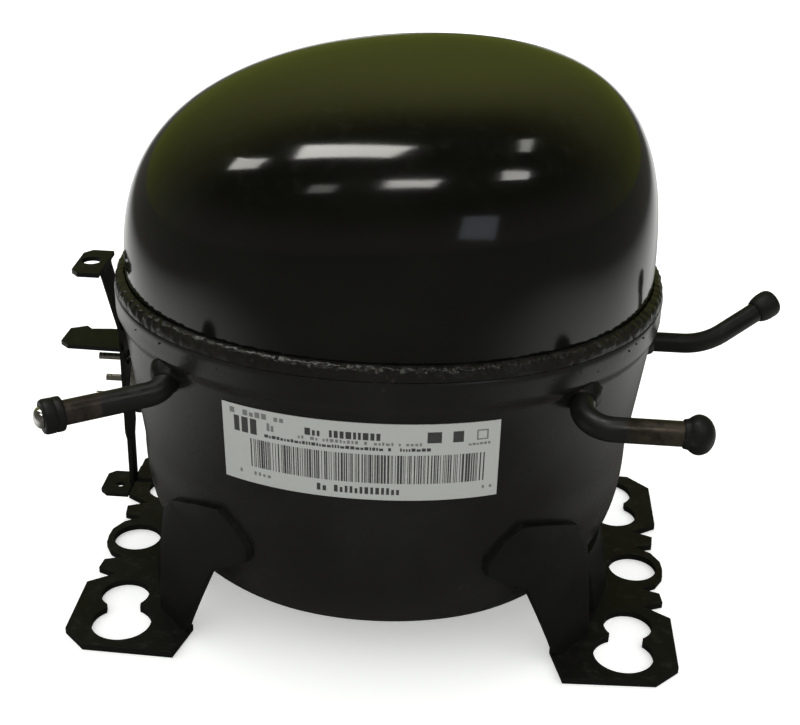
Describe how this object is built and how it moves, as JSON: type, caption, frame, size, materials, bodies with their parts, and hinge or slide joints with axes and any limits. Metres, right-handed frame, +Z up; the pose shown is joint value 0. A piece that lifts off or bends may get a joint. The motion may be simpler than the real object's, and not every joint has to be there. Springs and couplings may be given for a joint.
{
  "type": "hermetic reciprocating compressor",
  "caption": "Welded black steel shell with a domed top on two mounting plates, holding a spring-hung motor that drives a piston through a crank and cross yoke, with capped line tubes.",
  "frame": {"origin": "centre of the underside of the two mounting plates, which is also the centre of their hole patterns", "axes": "+Z up along the crankshaft, +X towards the discharge tube, -X the terminal side, -Y the side with the rating label"},
  "size_m": [0.2401, 0.1681, 0.1809],
  "materials": {
    "shell_paint_gloss": "deep gloss black enamel over pressed steel",
    "shell_paint_satin": "satin black enamel over pressed steel",
    "weld_paint": "rough weld bead under thin black paint",
    "plate_paint": "matt black dipped paint",
    "tube_copper": "tarnished copper, painted black near the shell",
    "cap_rubber": "soft black rubber",
    "bright_steel": "bright steel ball",
    "terminal_steel": "plated steel",
    "glass_bead": "fused glass",
    "connector_plastic": "moulded nylon",
    "label_film": "printed silver-grey film",
    "cast_iron": "machined cast iron",
    "steel": "machined steel",
    "lamination": "stacked electrical steel",
    "aluminium": "cast aluminium",
    "winding_copper": "enamelled copper wire",
    "paper": "slot insulation film",
    "gasket": "fibre gasket",
    "muffler_plastic": "moulded polyester",
    "wire_insulation": "insulated wire"
  },
  "bodies": {
    "shell": {"upper_shell": "shell_paint_gloss", "lower_shell": "shell_paint_satin", "shell_weld": "weld_paint", "left_mounting_plate": "plate_paint", "right_mounting_plate": "plate_paint", "suction_tube": "tube_copper", "process_tube": "tube_copper", "discharge_tube": "tube_copper", "tube_weld_collars": "weld_paint", "terminal_body": "terminal_steel", "terminal_glass": "glass_bead", "terminal_pins": "terminal_steel", "terminal_connector": "connector_plastic", "relay_bracket": "plate_paint", "rating_label": "label_film", "lower_spring_seats": "steel", "suspension_springs": "steel"},
    "pump": {"thrust_washer": "steel", "stator_core": "lamination", "slot_liners": "paper", "main_winding": "winding_copper", "start_winding": "winding_copper", "stator_bolts": "steel", "cylinder_block": "cast_iron", "cylinder_gasket": "gasket", "valve_plate": "steel", "discharge_stop": "steel", "head_gasket": "gasket", "cylinder_head": "aluminium", "head_bolts": "steel", "discharge_muffler_cover": "steel", "suction_muffler_body": "muffler_plastic", "suction_muffler_lid": "muffler_plastic", "upper_spring_seats": "connector_plastic", "discharge_loop": "steel", "lead_wires": "wire_insulation"},
    "suction_cap": {"suction_tube_cap": "cap_rubber"},
    "process_cap": {"process_tube_cap": "cap_rubber", "process_tube_ball": "bright_steel"},
    "discharge_plug": {"discharge_tube_plug": "cap_rubber"},
    "crank": {"crankshaft": "cast_iron", "oil_pickup": "steel", "rotor_cage": "aluminium", "rotor_core": "lamination", "counterweight": "steel"},
    "gallery_plug": {"oil_gallery_plug": "steel"},
    "slider": {"slider_block": "steel"},
    "piston": {"piston": "cast_iron", "yoke": "steel"},
    "suction_valve": {"suction_reed": "steel"},
    "discharge_valve": {"discharge_reed": "steel"}
  },
  "joints": [
    {"name": "suspension_float", "type": "slide", "parent": "shell", "child": "pump", "axis": [0, 0, 1], "range_m": [-0.003, 0.003], "stiffness_N_per_m": 30000, "springref_m": 0.00144, "deforming": ["suspension_springs", "discharge_loop", "lead_wires"]},
    {"name": "crank_spin", "type": "hinge", "parent": "pump", "child": "crank", "pos_m": [-0.012, 0, 0.1], "axis": [0, 0, 1], "continuous": true},
    {"name": "slider_swivel", "type": "hinge", "parent": "crank", "child": "slider", "pos_m": [-0.012, 0.008, 0.142], "axis": [0, 0, 1], "continuous": true},
    {"name": "gallery_plug_turn", "type": "hinge", "parent": "crank", "child": "gallery_plug", "pos_m": [-0.012, 0.004, 0.148], "axis": [0, 0, 1], "continuous": true},
    {"name": "piston_stroke", "type": "hinge", "parent": "gallery_plug", "child": "piston", "pos_m": [-0.012, 0, 0.142], "axis": [0, 0, 1], "continuous": true},
    {"name": "suction_reed_lift", "type": "hinge", "parent": "pump", "child": "suction_valve", "pos_m": [0.0416, -0.006, 0.1495], "axis": [0, 1, 0], "range_deg": [0, 2.8], "stiffness_Nm_per_rad": 0.0003},
    {"name": "discharge_reed_lift", "type": "hinge", "parent": "pump", "child": "discharge_valve", "pos_m": [0.046, 0.006, 0.1345], "axis": [0, 1, 0], "range_deg": [0, 2.8], "stiffness_Nm_per_rad": 0.0003},
    {"name": "suction_cap_pull", "type": "slide", "parent": "shell", "child": "suction_cap", "axis": [0.9999, -0.0121, 0], "range_m": [0, 0.012]},
    {"name": "process_cap_pull", "type": "slide", "parent": "shell", "child": "process_cap", "axis": [-0.8399, -0.5428, -0.0057], "range_m": [0, 0.012]},
    {"name": "discharge_plug_pull", "type": "slide", "parent": "shell", "child": "discharge_plug", "axis": [0.8007, 0.449, 0.3966], "range_m": [0, 0.012]}
  ],
  "couplings": [
    {"joint": "slider_swivel", "follows": "crank_spin", "ratio": -1},
    {"joint": "gallery_plug_turn", "follows": "crank_spin", "ratio": -2},
    {"joint": "piston_stroke", "follows": "crank_spin", "ratio": 1}
  ]
}
